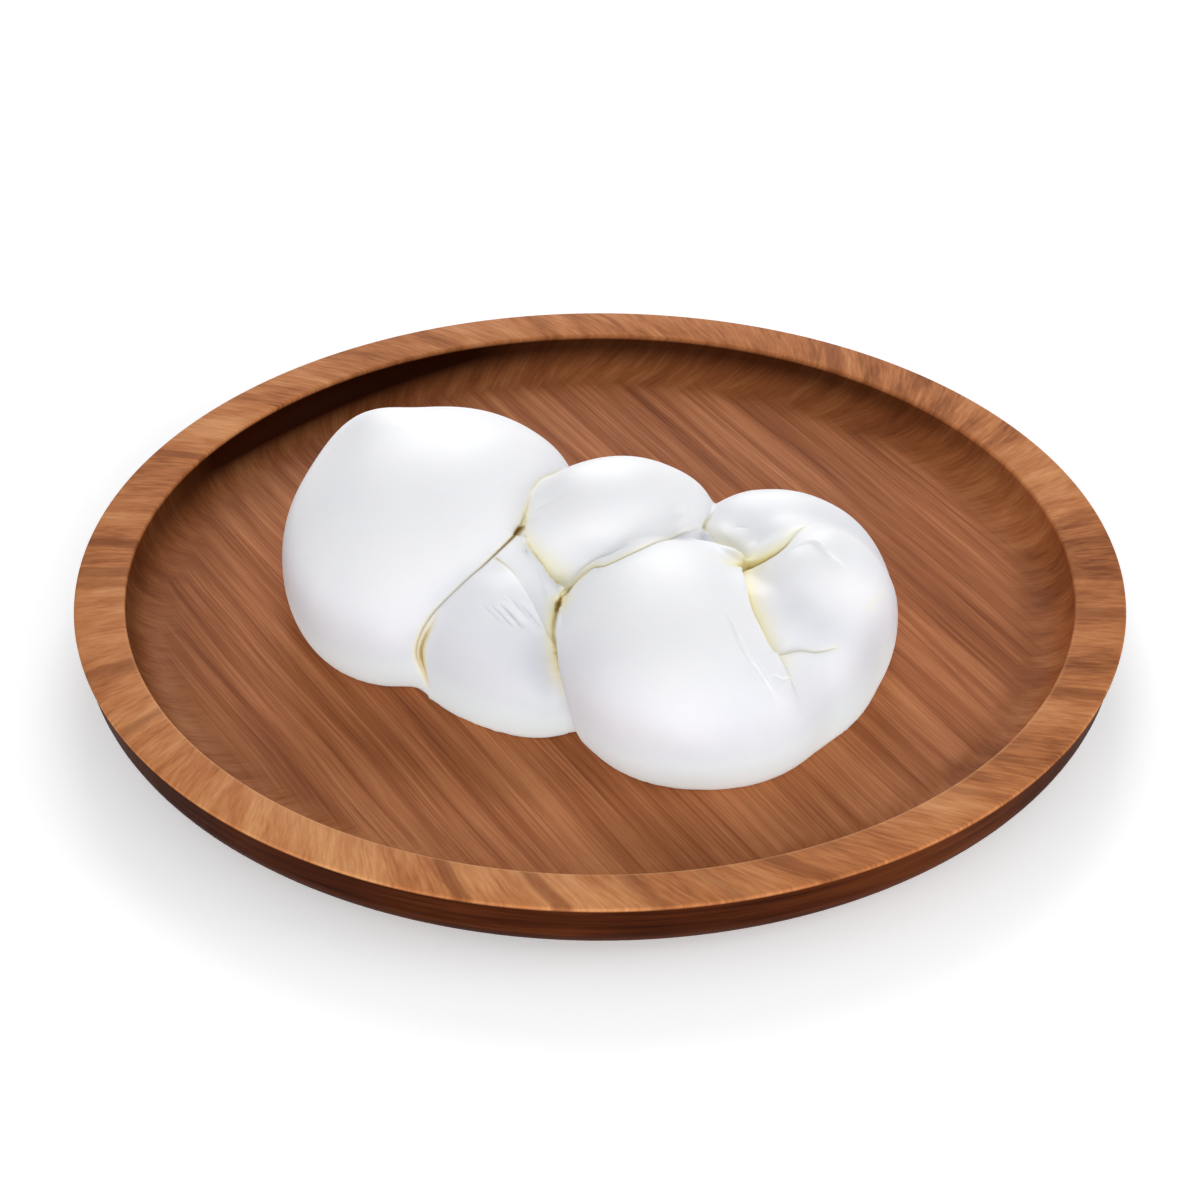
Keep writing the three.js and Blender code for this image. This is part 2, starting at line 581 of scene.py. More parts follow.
class Bench:
    """Operators as used at a modelling bench, one object at a time."""

    @staticmethod
    def clear() -> None:
        """Leaves nothing selected."""
        if bpy.context.mode != "OBJECT":
            bpy.ops.object.mode_set(mode="OBJECT")
        bpy.ops.object.select_all(action="DESELECT")

    @staticmethod
    def pick(piece: Piece) -> None:
        """Makes a piece the only one selected, and active.

        Args:
            piece: The object.
        """
        Bench.clear()
        piece.select_set(True)
        bpy.context.view_layer.objects.active = piece

    @staticmethod
    def named(name: str) -> Piece:
        """Names the object that an operator has just added.

        Args:
            name: Its name.

        Returns:
            The object.
        """
        piece = bpy.context.object
        piece.name = name
        piece.data.name = name
        return piece

    @staticmethod
    def ball(name: str, segments: int, rings: int) -> Piece:
        """Adds a ball of radius 1.

        Args:
            name: Its name.
            segments: Steps round it.
            rings: Steps from pole to pole.

        Returns:
            The ball.
        """
        Bench.clear()
        bpy.ops.mesh.primitive_uv_sphere_add(segments=segments, ring_count=rings, radius=1.0)
        return Bench.named(name)

    @staticmethod
    def thread(name: str, points: Sequence[Triple]) -> Piece:
        """Draws a chain of edges, one extrusion after another.

        Args:
            name: Name of the object.
            points: Where the chain passes, in metres.

        Returns:
            The object, left in edit mode with the whole chain selected.
        """
        Bench.clear()
        bpy.ops.mesh.primitive_plane_add(size=0.01)
        piece = Bench.named(name)
        bpy.ops.object.mode_set(mode="EDIT")
        bpy.ops.mesh.select_all(action="SELECT")
        bpy.ops.mesh.merge(type="CENTER")
        bpy.ops.transform.translate(value=points[0])
        for here, there in zip(points, points[1:]):
            step = tuple(b - a for a, b in zip(here, there))
            bpy.ops.mesh.extrude_region_move(TRANSFORM_OT_translate={"value": step})
        bpy.ops.mesh.select_all(action="SELECT")
        return piece

    @staticmethod
    def modify(piece: Piece, kind: str, **settings: Any) -> None:
        """Adds a modifier and applies it.

        Args:
            piece: The object.
            kind: Blender's name of the modifier type.
            **settings: The modifier's settings.
        """
        Bench.pick(piece)
        modifier = piece.modifiers.new(kind.lower(), kind)
        for key, value in settings.items():
            setattr(modifier, key, value)
        bpy.ops.object.modifier_apply(modifier=modifier.name)

    @staticmethod
    def join(pieces: Sequence[Piece], name: str) -> Piece:
        """Joins objects into the first one.

        Args:
            pieces: The objects.
            name: Name of the whole.

        Returns:
            The joined object.
        """
        Bench.pick(pieces[0])
        for piece in pieces[1:]:
            piece.select_set(True)
        bpy.ops.object.join()
        return Bench.named(name)

    @staticmethod
    def tree(piece: Piece) -> BVHTree:
        """The surface in metres, ready for finding the nearest place on it."""
        return BVHTree.FromObject(piece, bpy.context.evaluated_depsgraph_get())

    @staticmethod
    def points(piece: Piece) -> Array:
        """The vertices, in millimetres."""
        return Bench._rows(piece.data.vertices, "co") / MM

    @staticmethod
    def normals(piece: Piece) -> Array:
        """The vertices' normals."""
        return Bench._rows(piece.data.vertex_normals, "vector")

    @staticmethod
    def _rows(data: bpy.types.bpy_prop_collection, name: str) -> Array:
        """Reads the vectors of a mesh.

        Args:
            data: The mesh's vertices or normals.
            name: The value that is read.

        Returns:
            One vector to a row.
        """
        flat = np.empty(3 * len(data), np.float32)
        data.foreach_get(name, flat)
        return flat.reshape(-1, 3).astype(float)

    @staticmethod
    def move(piece: Piece, points: Array) -> None:
        """Puts the vertices at points in millimetres."""
        piece.data.vertices.foreach_set("co", (points * MM).astype(np.float32).ravel())
        piece.data.update()

    @staticmethod
    def paint(piece: Piece, name: str, values: Array) -> None:
        """Keeps a value on each vertex as an attribute."""
        attribute = piece.data.attributes.new(name, "FLOAT", "POINT")
        attribute.data.foreach_set("value", np.clip(values, 0.0, 1.0).astype(np.float32))

    @staticmethod
    def subdivide(piece: Piece, chosen: Array) -> None:
        """Cuts the faces at chosen vertices into finer ones.

        Args:
            piece: The object.
            chosen: Which vertices are chosen.
        """
        Bench.pick(piece)
        bpy.context.tool_settings.mesh_select_mode = (True, False, False)
        bpy.ops.object.mode_set(mode="EDIT")
        bpy.ops.mesh.select_all(action="DESELECT")
        bpy.ops.object.mode_set(mode="OBJECT")
        piece.data.vertices.foreach_set("select", chosen)
        bpy.ops.object.mode_set(mode="EDIT")
        bpy.ops.mesh.select_mode(type="FACE")
        bpy.ops.mesh.subdivide(number_cuts=1)
        bpy.ops.mesh.select_mode(type="VERT")
        bpy.ops.object.mode_set(mode="OBJECT")

    @staticmethod
    def soften(piece: Piece, weights: Array, steps: int) -> None:
        """Smooths the surface by a weight on each vertex.

        Args:
            piece: The object.
            weights: How strongly each vertex is smoothed, from 0 to 1.
            steps: Number of passes.
        """
        group = piece.vertex_groups.new(name="soft")
        finest = 20
        levels = np.round(np.clip(weights, 0.0, 1.0) * finest).astype(int)
        for level in range(1, finest + 1):
            members = np.nonzero(levels == level)[0]
            group.add(members.tolist(), level / finest, "REPLACE")
        Bench.modify(piece, "SMOOTH", factor=0.5, iterations=steps, vertex_group="soft")
        piece.vertex_groups.remove(piece.vertex_groups["soft"])

    @staticmethod
    def unfold(piece: Piece, angle: float, rounds: int) -> None:
        """Smooths the skin wherever it folds too sharply.

        Args:
            piece: The object.
            angle: The sharpest turn that may stay, in degrees.
            rounds: How often the folds are sought and smoothed.
        """
        Bench.pick(piece)
        bpy.ops.object.mode_set(mode="EDIT")
        bpy.ops.mesh.select_mode(type="EDGE")
        for _ in range(rounds):
            bpy.ops.mesh.select_all(action="DESELECT")
            bpy.ops.mesh.edges_select_sharp(sharpness=math.radians(angle))
            bpy.ops.mesh.vertices_smooth(factor=0.5, repeat=2)
        bpy.ops.object.mode_set(mode="OBJECT")


@dataclass
class Board:
    """The round board, turned from one piece of wood."""

    radius: float = 140.0
    height: float = 18.0
    rim_width: float = 13.5
    edge_round: float = 0.8
    recess_depth: float = 10.0
    cove_width: float = 11.0
    side_depth: float = 7.0
    side_lean: float = 2.0
    base_radius: float = 124.0
    steps_round: int = 240
    side_steps: int = 14
    edge_steps: int = 5
    cove_steps: int = 16
    weld: float = 0.01
    smooth_angle: float = 35.0

    @property
    def floor_height(self) -> float:
        """Height of the recess floor."""
        return self.height - self.recess_depth

    @property
    def inner_radius(self) -> float:
        """Radius of the rim's inner edge."""
        return self.radius - self.rim_width

    @property
    def flat_radius(self) -> float:
        """Radius of the flat floor, where the cove starts."""
        return self.inner_radius - self.cove_width

    @staticmethod
    def _arc(centre: Pair, radii: Pair, start: float, end: float, steps: int) -> List[Pair]:
        """Points of a stretch of an ellipse.

        Args:
            centre: Its centre.
            radii: Its half axes.
            start: First angle in degrees.
            end: Last angle in degrees.
            steps: Number of straight pieces.

        Returns:
            The points.
        """
        angles = [math.radians(start + (end - start) * k / steps) for k in range(steps + 1)]
        return [(centre[0] + radii[0] * math.cos(a), centre[1] + radii[1] * math.sin(a)) for a in angles]

    def outline(self) -> List[Pair]:
        """The turned outline, as radius and height.

        Returns:
            Its points from the middle of the underside to the middle of the floor.
        """
        foot = self.radius - self.side_lean
        side_z = self.height - self.side_depth
        edge = self.edge_round
        top = self.height - edge
        points = [(0.0, 0.0)]
        side = (foot - self.base_radius, side_z)
        points += self._arc((self.base_radius, side_z), side, -90.0, 0.0, self.side_steps)
        points += self._arc((self.radius - edge, top), (edge, edge), 0.0, 90.0, self.edge_steps)
        points += self._arc((self.inner_radius + edge, top), (edge, edge), 90.0, 180.0, self.edge_steps)
        cove = (self.cove_width, top - self.floor_height)
        points += self._arc((self.flat_radius, top), cove, 0.0, -90.0, self.cove_steps)[1:]
        points += [(self.flat_radius * share, self.floor_height) for share in (0.75, 0.5, 0.25, 0.0)]
        return points

    def build(self) -> Piece:
        """Spins the outline into the board and dresses it.

        Returns:
            The board.
        """
        piece = Bench.thread("board_wood", [(r * MM, 0.0, z * MM) for r, z in self.outline()])
        bpy.ops.mesh.spin(steps=self.steps_round, angle=2.0 * math.pi, center=(0, 0, 0), axis=(0, 0, 1))
        bpy.ops.mesh.select_all(action="SELECT")
        bpy.ops.mesh.remove_doubles(threshold=self.weld * MM)
        bpy.ops.mesh.normals_make_consistent(inside=False)
        bpy.ops.object.mode_set(mode="OBJECT")
        bpy.ops.object.shade_smooth_by_angle(angle=math.radians(self.smooth_angle))
        piece.data.materials.append(WoodFinish(self).build())
        return piece


@dataclass(frozen=True)
class Roll:
    """One bent roll of curd, in plan from the board's centre and with heights before the soft curd sags."""

    name: str
    start: Triple
    bend: Pair
    end: Triple
    half_width: float
    half_height: float
    bluntness: float = 2.3
    sink: float = 0.9

    def shape(self, ball: Array) -> Array:
        """Draws a ball out along the roll's path.

        Args:
            ball: Points of a ball of radius 1 with its poles on Z.

        Returns:
            The points of the roll.
        """
        start, end = np.array(self.start), np.array(self.end)
        bend = np.array([*self.bend, self.sink * self.half_height])
        control = 2.0 * bend - 0.5 * (start + end)
        pole = np.clip(ball[:, 2:3], -1.0, 1.0)
        t = 0.5 * (1.0 + pole)
        path = (1 - t) ** 2 * start + 2 * t * (1 - t) * control + t**2 * end
        tangent = unit(2 * (1 - t) * (control - start) + 2 * t * (end - control))
        side = unit(np.cross(tangent, (0.0, 0.0, 1.0)))
        over = np.cross(side, tangent)
        full = np.maximum(0.0, 1.0 - np.abs(pole) ** self.bluntness) ** (1.0 / self.bluntness)
        angle = np.arctan2(ball[:, 1:2], ball[:, 0:1])
        rise, spread = (
            np.sign(wave) * np.abs(wave) ** (2.0 / self.bluntness) for wave in (np.cos(angle), np.sin(angle))
        )
        return path + full * (self.half_height * rise * over + self.half_width * spread * side)


@dataclass(frozen=True)
class Swell:
    """A soft bulge of the surface, or a hollow where its lift is negative.

    It rises along the surface's normals, or the way that it is pushed where it fills a hollow between rolls.
    """

    centre: Triple
    radius: float
    lift: float
    push: Optional[Triple] = None

    def shift(self, points: Array, normals: Array) -> Array:
        """Works out how points of the surface move.

        Args:
            points: The points.
            normals: The surface's normals there.

        Returns:
            Their moves.
        """
        away = np.linalg.norm(points - np.array(self.centre), axis=1, keepdims=True)
        ways = normals if self.push is None else np.array(self.push)
        return self.lift * bell(away, self.radius) * ways


@dataclass(frozen=True)
class Fill:
    """Curd that fills the valley along a line, so that the skin runs smoothly over it."""

    path: Path
    radius: float
    lift: float
    push: Triple
    steps: int = 30
    spacing: float = 1.0

    def nearness(self, points: Array) -> Array:
        """How near points are to the line, from 1 on it to 0 far from it."""
        return bell(nearest(points, curve(self.path, self.spacing))[1], self.radius)

    def shift(self, points: Array) -> Array:
        """Moves of points on the surface."""
        return self.lift * self.nearness(points)[:, None] * np.array(self.push)


@dataclass(frozen=True)
class Touch:
    """What a seam does to the points of a surface."""

    rows: Array
    raised: Array
    cut: Array
    yellow: Array
    dark: Array


@dataclass(frozen=True)
class Seam:
    """A line on the skin where folds meet, with pairs of values for its left and right sides as it runs.

    The shares in along, yellow and dark are spread evenly over the line's length, and along scales the depth
    and the lift. A negative depth makes a ridge, and a depth of 0 leaves only colour. The lift raises a side
    at the line and fades over that side's reach, the yellow over its spread, and the dark, which is painted
    shade, over the ink.
    """

    path: Path
    depth: float = 0.0
    along: Shares = (1.0,)
    yellow: Shares = (0.0,)
    dark: Shares = (0.0,)
    width: float = 0.45
    lift: Pair = (0.0, 0.0)
    reach: Pair = (4.0, 4.0)
    spread: Pair = (1.2, 1.2)
    ink: float = 0.45
    spacing: float = 0.4

    def drape(self, tree: BVHTree) -> Tuple[Array, Array]:
        """Lays the line on a surface.

        Args:
            tree: The surface, in metres.

        Returns:
            The points of the line on it and the surface's normals there.
        """
        line = curve(self.path, self.spacing)
        hits = [tree.find_nearest(Vector(point)) for point in line * MM]
        return np.array([hit[0] for hit in hits]) / MM, np.array([hit[1] for hit in hits])

    def touch(self, points: Array, tree: BVHTree) -> Touch:
        """Works out what the line does to a surface's points.

        Args:
            points: The surface's points.
            tree: The surface.

        Returns:
            What it does to the points near it.
        """
        line, normals = self.drape(tree)
        margin = 3.0 * max(*self.reach, *self.spread, self.width, self.ink)
        inside = (points > line.min(axis=0) - margin) & (points < line.max(axis=0) + margin)
        rows = np.nonzero(inside.all(axis=1))[0]
        tangents = unit(np.gradient(line, axis=0))
        lefts = np.cross(normals, tangents)
        near = nearest(points[rows], line)[0]
        offset = points[rows] - line[near]
        forward = np.einsum("ij,ij->i", offset, tangents[near])
        inner = (near > 0) & (near < len(line) - 1)
        offset -= np.where(inner, forward, 0.0)[:, None] * tangents[near]
        away = np.linalg.norm(offset, axis=1)
        side = np.einsum("ij,ij->i", offset, lefts[near])
        return self._profile(rows, away, side, near / (len(line) - 1))

    def _profile(self, rows: Array, away: Array, side: Array, share: Array) -> Touch:
        """Sets the values across the line.

        Args:
            rows: Rows of the points.
            away: Their distances from the line.
            side: Their places across it, positive on the left.
            share: Their places along it, from 0 to 1.

        Returns:
            The line's touch.
        """
        left = ease(-self.width * 0.5, self.width * 0.5, side)
        strength, yellow, dark = (
            np.interp(share, np.linspace(0.0, 1.0, len(values)), values)
            for values in (self.along, self.yellow, self.dark)
        )
        raised = left * self.lift[0] * bell(away, self.reach[0])
        raised += (1.0 - left) * self.lift[1] * bell(away, self.reach[1])
        cut = strength * self.depth * np.exp(-away / self.width)
        fade = left * np.exp(-away / self.spread[0]) + (1.0 - left) * np.exp(-away / self.spread[1])
        return Touch(rows, strength * raised, cut, yellow * fade, dark * bell(away, self.ink))


HEAD_BACK = Seam(
    ((-9, 30, 33), (-15.5, 15.5, 39), (-17.5, 7, 41), (-19, 1.5, 40), (-21, -6, 37)),
    depth=0.8, along=(0.7, 0.8, 0.9, 1, 1.2), yellow=(0.5, 0.5, 0.5, 0.5, 0.8), dark=(0, 0, 0, 0.05, 0.4),
    lift=(0.4, -0.3), reach=(5, 5), spread=(2, 0.9), ink=0.35,
)
HEAD_FRONT = Seam(
    ((-21, -6, 37), (-28, -19.5, 37), (-36, -30, 35.5), (-44, -37, 30), (-47.5, -41, 21.5), (-45, -41.5, 11)),
    depth=1, along=(1.2, 1, 0.7, 0.8, 1, 1), yellow=(0.9, 0.7, 0.5, 0.5, 0.8, 0.8),
    dark=(0.9, 0.7, 0.4, 0.35, 0.4, 0.3), lift=(0.5, -0.2), spread=(0.4, 0.9), ink=0.4,
)
HEAD_GAP = Seam(
    ((-41.5, -36, 31.5), (-45.5, -40, 25.5), (-46.5, -41.5, 20), (-45, -42, 13)),
    depth=1.6, along=(0, 0.8, 1, 0.8), yellow=(0.3, 0.9, 1, 0.7), dark=(0, 0.35, 0.5, 0.3), width=1.3,
    ink=0.9,
)
HEAD_HOLLOW = Seam(
    ((-22, -8.5, 37), (-20.5, -5.5, 37.5)),
    depth=1.2, yellow=(0.8,), dark=(1,), width=0.6, ink=0.7,
)
FRONT_FOLD = Seam(
    ((-27, -20.5, 37), (-23, -24.5, 36), (-18.5, -34.5, 34.5), (-14, -43, 32.5)),
    depth=0.5, along=(0.1, 0.6, 1, 0.8), yellow=(0.6, 0.25, 0.15, 0.1), dark=(0.5, 0, 0, 0), lift=(-1.1, 0.8),
    reach=(5, 3),
)
BACK_FRONT = Seam(
    ((-19, -9.5, 35), (-15.5, -16.5, 33), (-11.5, -26, 31), (-10.5, -32, 31.5)),
    depth=0.6, along=(0.8, 0.9, 0.8, 0.4), yellow=(0.55, 0.6, 0.65, 0.85), dark=(0, 0, 0, 0.2), width=0.4,
    lift=(-0.8, 0.5), reach=(6, 3), spread=(4.5, 0.4), ink=0.3,
)
FRONT_HOLLOW = Seam(
    ((-10.5, -31, 31), (-10.5, -34, 31.5)),
    depth=0.8, yellow=(1,), dark=(1,), width=0.7, ink=0.55,
)
FRONT_BELLY = Seam(
    ((-10.5, -31.5, 31), (-11.5, -45, 31.5), (-10.5, -55.5, 27.5), (-8, -64.5, 22), (-6.5, -66, 14)),
    depth=1.3, along=(1.2, 1, 1, 0.9, 0.8), yellow=(0.9, 0.8, 0.8, 0.7, 0.5),
    dark=(0.5, 0.4, 0.45, 0.4, 0.25), lift=(0.6, -1.4), reach=(5, 6), spread=(0.3, 2.6), ink=0.3,
)
BACK_BELLY = Seam(
    ((-10.5, -32.5, 32), (-8.5, -27.5, 31), (-6.5, -25, 31.5), (-4, -25.5, 35), (-1.5, -26, 38),
     (2, -26.5, 40), (10.5, -22, 41.5), (18.5, -12, 38.5), (26.5, -3, 35)),
    depth=0.8, along=(0.2, 0.2, 0.5, 1, 1, 0.9, 0.6, 0.2), yellow=(0.9, 0.9, 0.8, 0.7, 0.6, 0.5, 0.35, 0.2),
    dark=(0.3, 0.5, 0.5, 0.5, 0.45, 0.4, 0.3, 0.1), spread=(2.2, 0.3), ink=0.4,
)
BACK_STRIP = Seam(
    ((-9.5, -25, 31.5), (-4.5, -23, 35.5), (2, -22, 39), (8, -18, 39.5)),
    depth=0.15, along=(0.3, 1, 0.8, 0), width=0.5, lift=(-1.2, 0.4), reach=(8, 1.4),
)
BACK_LINE = Seam(((-17, -3, 41.5), (-13, -4, 44.5), (-5, -3.5, 48)), depth=0.35, along=(0.6, 1, 0), width=1.2)
LIP = Seam(
    ((18.5, -11, 38), (22.5, -5, 37), (26, -1.5, 34.5), (30.5, -5, 33)),
    depth=-0.6, along=(0.2, 1, 1, 0), yellow=(0, 0.25, 0.2, 0.1), width=0.6, spread=(2, 0.5),
)
LIP_CREASE = Seam(
    ((20, -9.5, 38.5), (24.5, -5, 36.5), (27.5, -3.5, 35), (31, -8, 34)),
    depth=0.4, along=(0.3, 1, 1, 0.3), yellow=(0.1, 0.25, 0.2), width=0.4,
)
BACK_UPPER = Seam(
    ((27.5, 0, 33.5), (29, 4.5, 34), (31.5, 10.5, 34.5)),
    depth=0.5, along=(1, 0.8, 0.2), yellow=(0.7, 0.5, 0.1), dark=(0.35, 0.15, 0), spread=(0.6, 1.2),
)
BELLY_UPPER = Seam(
    ((28, -1, 33.5), (31, -7, 33), (35, -14, 33.5), (37, -22, 36)),
    depth=0.5, yellow=(0.35, 0.55, 0.7, 0.8), dark=(0, 0, 0, 0.2), lift=(-0.3, 0), spread=(5.5, 0.5),
)
UPPER_FOLD = Seam(((35, -3, 34.5), (37.5, -3, 35.5), (40, -4, 35.5)), depth=0.35, along=(0, 1, 0), width=1.2)
UPPER_TONGUE = Seam(
    ((36.5, -25.5, 37), (38.5, -23, 36.5), (41, -22.5, 36.5), (44, -22.5, 38.5), (48, -20.5, 40.5),
     (51, -15.5, 41.5), (55.5, -9.5, 40)),
    depth=0.7, along=(1, 1, 1, 0.9, 0.6, 0.4, 0), yellow=(1, 1, 0.95, 0.8, 0.55, 0.4, 0.2),
    dark=(0.3, 0.35, 0.5, 0.4, 0.1, 0, 0), reach=(5, 3), spread=(4.5, 0.4), ink=0.4,
)
TONGUE_FOLD = Seam(
    ((48, -24.5, 42), (54.5, -21.5, 44), (59, -26.5, 43.5), (64, -30, 40.5)),
    depth=-0.7, along=(0.1, 0.6, 1, 0), width=0.8, lift=(0, -0.7), reach=(4, 5),
)
BELLY_TONGUE = Seam(
    ((37, -24, 36.5), (37, -29.5, 38.5), (38.5, -45.5, 40), (42.5, -56.5, 37.5), (45, -60, 35.5),
     (48, -65, 32)),
    depth=0.9, along=(0.6, 1, 1, 1, 1, 0.4), yellow=(0.9, 0.75, 0.85, 1, 0.9, 0.3),
    dark=(0.2, 0, 0.1, 0.35, 0.4, 0.15), lift=(-1.8, 0.4), reach=(6, 3), spread=(4, 0.4), ink=0.35,
)
TONGUE_TAIL = Seam(
    ((45, -59.5, 35.5), (50.5, -55, 32.5), (55, -53.5, 31), (61, -50.5, 30.5)),
    depth=0.8, along=(0.4, 1, 0.6, 0), yellow=(0.9, 0.5, 0.45, 0.35), dark=(0.5, 0.4, 0.1, 0), width=0.4,
    lift=(-0.9, 0.7), reach=(6, 4), spread=(1.2, 0.8), ink=0.35,
)
FLAP_EDGE = Seam(
    ((32, -49, 42.5), (32.5, -54, 42), (36.5, -64, 39), (43, -71.5, 32)),
    depth=-0.08, along=(0, 0.7, 1, 1), width=0.4, lift=(0.5, -0.3), reach=(4.5, 2.5),
)
FLAP_LINE = Seam(
    ((34, -56.5, 41.5), (39, -65, 37.5), (42.5, -70, 33)),
    depth=0.25, along=(0.2, 1, 1), width=0.4,
)
FLAP_END = Seam(
    ((42.5, -70, 33.5), (44, -67.5, 34), (46, -67, 32.5), (48, -65.5, 32)),
    depth=0.2, yellow=(0, 0.1, 0.35), width=0.4, lift=(0.08, 0), reach=(2.5, 2),
)
TAIL_SMUDGE = Seam(((68.5, -34.5, 31.5), (73.5, -27.5, 32.5)), yellow=(0.3, 0.22), spread=(3, 3))
SIDE_STRETCH = Seam(
    ((-16.5, -20.5, 33), (-14.5, -28, 33.5), (-13, -32, 33)),
    depth=0.6, along=(0, 0.8, 1, 0), width=0.4,
)
RIDGE_STRETCH = Seam(
    ((-20.5, -31, 35), (-17, -37.5, 34), (-14.5, -42.5, 32.5)),
    depth=-0.7, along=(0, 0.8, 1, 0.3), width=0.5,
)
# Seams of depth 0 that only paint shade on the skin.
FRONT_SHADE = Seam(
    ((-31, -50, 29), (-22, -51.5, 31), (-14, -56, 27), (-12, -60, 21)),
    dark=(0.02, 0.06, 0.15, 0.16), ink=7,
)
BELLY_SHADE = Seam(((-4, -60, 34.5), (-1, -68, 32), (6, -72, 30)), dark=(0.06, 0.09, 0.05), ink=9)
TONGUE_SHADE = Seam(((49, -36, 40.5), (50.5, -43, 37.5), (54, -46, 35)), dark=(0.08, 0.18, 0.12), ink=7)
STRETCH_LINES = tuple(
    Seam(
        ((x, y, z), (x + 3.5, y - 4, z - 1), (x + 7, y - 8, z - 3)),
        depth=depth, along=(0, 0.8, 1, 0.8, 0), dark=(0, max(0, 0.12 * depth), 0), width=0.6, ink=0.7,
    )
    for x, y, z, depth in (
        (-31, -37, 36, 0.5), (-30, -37, 36, -0.5), (-28.8, -37.5, 36, 0.8),
        (-27.5, -37.5, 36, -0.8), (-26.2, -37.5, 36, 1.1), (-25, -36, 36.5, -1),
        (-23.8, -35.5, 36.5, 0.6), (-22.5, -37.5, 35.5, -0.6), (-21, -36.5, 35.5, 0.8),
    )
)


@dataclass
class Braid:
    """The braid: rolls of curd pressed into one piece.

    The cores lie hidden inside it and close the hollows beneath the places where rolls cross.
    """

    rest_height: float
    rolls: Tuple[Roll, ...] = (
        Roll("head", (-12, 50, 12), (-47, 15), (-44, -38, 19), 35, 27.5),
        Roll("back", (-19, -10, 27), (1, 3), (24, 28, 17), 21.5, 26.5),
        Roll("front", (-25, 1, 18), (-30, -23), (-4, -56, 19), 21.5, 20),
        Roll("belly", (-9, -42, 27), (24, -43), (42, -35, 7), 40, 24),
        Roll("upper", (31, 18, 23), (52, 2), (74, 0, 11), 21.5, 20.5),
        Roll("tongue", (38, -18, 29), (54, -21), (73, -12, 15), 20, 24.5),
        Roll("tail", (51, 16, 16), (60, -12), (49, -56, 9), 17.5, 18),
        Roll("bow", (36, -62, 14), (54, -48), (67, -20, 12), 12, 17.5),
    )
    cores: Tuple[Roll, ...] = (
        Roll("right_core", (20, 5, 8), (28, -10), (36, -25, 8), 11, 13),
        Roll("middle_core", (-6, -34, 8), (-3, -25), (0, -16, 8), 8, 12),
    )
    fused: Tuple[Tuple[str, str], ...] = (
        ("upper", "tail"), ("belly", "tail"), ("upper", "tongue"), ("tongue", "tail"),
        ("belly", "bow"), ("tail", "bow"), ("tongue", "bow"),
    )
    swells: Tuple[Swell, ...] = (
        Swell((-61, 33.5, 41), 13, 3.6),
        Swell((-12, 36.5, 33.5), 14, 1.2),
        Swell((31, 12.5, 36.5), 9, 1.6),
        Swell((-45, 38, 46), 14, -1.3),
        Swell((72, 8, 22), 14, 0.9),
        Swell((51, 16.5, 34.5), 16, 0.6),
        Swell((78.5, -20.5, 16), 22, 0.6),
        Swell((-5, -31, 34), 7, 2.6, (-0.7, 0.3, 0.4)),
        Swell((-8.5, -32, 33.5), 3.5, 1.4, (-0.4, 0.4, 0.8)),
        Swell((43, -21, 39), 6, -1.2),
        Swell((-26, -33, 35.5), 8, 1.3, (0, -0.3, 0.95)),
        Swell((-46.5, 30.5, 49), 3, -0.8),
    )
    fills: Tuple[Fill, ...] = (
        Fill(((42, -35.5, 37), (48.5, -41.5, 32.5), (57.5, -43.5, 26.5)), 7, 3.5, (0.45, -0.45, 0.77)),
        Fill(((-8, -25, 29), (-3, -23.5, 33)), 5.5, 5.5, (0.1, -0.5, 0.85)),
        Fill(((23, -5, 35), (27, -4, 33), (30, -7, 33)), 4, 3.8, (0, -0.35, 0.93)),
        Fill(((-8.5, -28, 30.5), (-7, -27, 31.5)), 3.5, 3.2, (0, -0.1, 1)),
        Fill(((-3, -20, 36), (6.5, -19, 38), (14, -12, 38), (20, -4, 34.5)), 4, 2, (-0.1, -0.45, 0.9)),
        Fill(((24, 0, 32), (30.5, -7, 30), (36, -15, 31)), 6, 5.5, (0, -0.3, 0.95)),
        Fill(((37, -16, 31), (44, -15.5, 35), (50, -9, 37)), 5.5, 5, (0, -0.25, 0.95)),
        Fill(((38, -24, 36), (41.5, -22.5, 37)), 3.5, 1.5, (0, -0.3, 0.95)),
        Fill(((54, -41, 35), (63, -40, 32), (67, -46, 26)), 9, 2, (0.3, -0.5, 0.8), 150),
        Fill(((27.5, -4.5, 32.5), (30.5, -8, 32.5)), 3, 3, (0, -0.3, 0.95)),
        Fill(((-21, -10, 36.5), (-24, -18, 36.5)), 5, 1.8, (0, -0.35, 0.93)),
        Fill(((-20, -12, 34.5), (-17, -17, 33), (-15, -22, 33)), 4, 1.4, (-0.2, -0.3, 0.93)),
    )
    plumpness: float = 1.1
    sag: float = 11.0
    press_reach: float = 6.0
    press_steps: int = 30
    melt_reach: float = 12.0
    melt_steps: int = 90
    far: float = 60.0
    fine_bands: Triple = (3.5, 1.8, 0.9)
    sharpest_fold: float = 45.0
    fold_rounds: int = 12
    voxel: float = 1.5
    ball_segments: int = 96
    ball_rings: int = 64
    seams: Tuple[Seam, ...] = (
        HEAD_BACK, HEAD_FRONT, HEAD_GAP, HEAD_HOLLOW, FRONT_FOLD, BACK_FRONT, FRONT_HOLLOW, FRONT_BELLY,
        BACK_BELLY, BACK_STRIP, BACK_LINE, LIP, LIP_CREASE, BACK_UPPER, BELLY_UPPER, UPPER_FOLD, UPPER_TONGUE,
        TONGUE_FOLD, BELLY_TONGUE, TONGUE_TAIL, FLAP_EDGE, FLAP_LINE, FLAP_END, TAIL_SMUDGE, SIDE_STRETCH,
        RIDGE_STRETCH, FRONT_SHADE, BELLY_SHADE, TONGUE_SHADE, *STRETCH_LINES,
    )

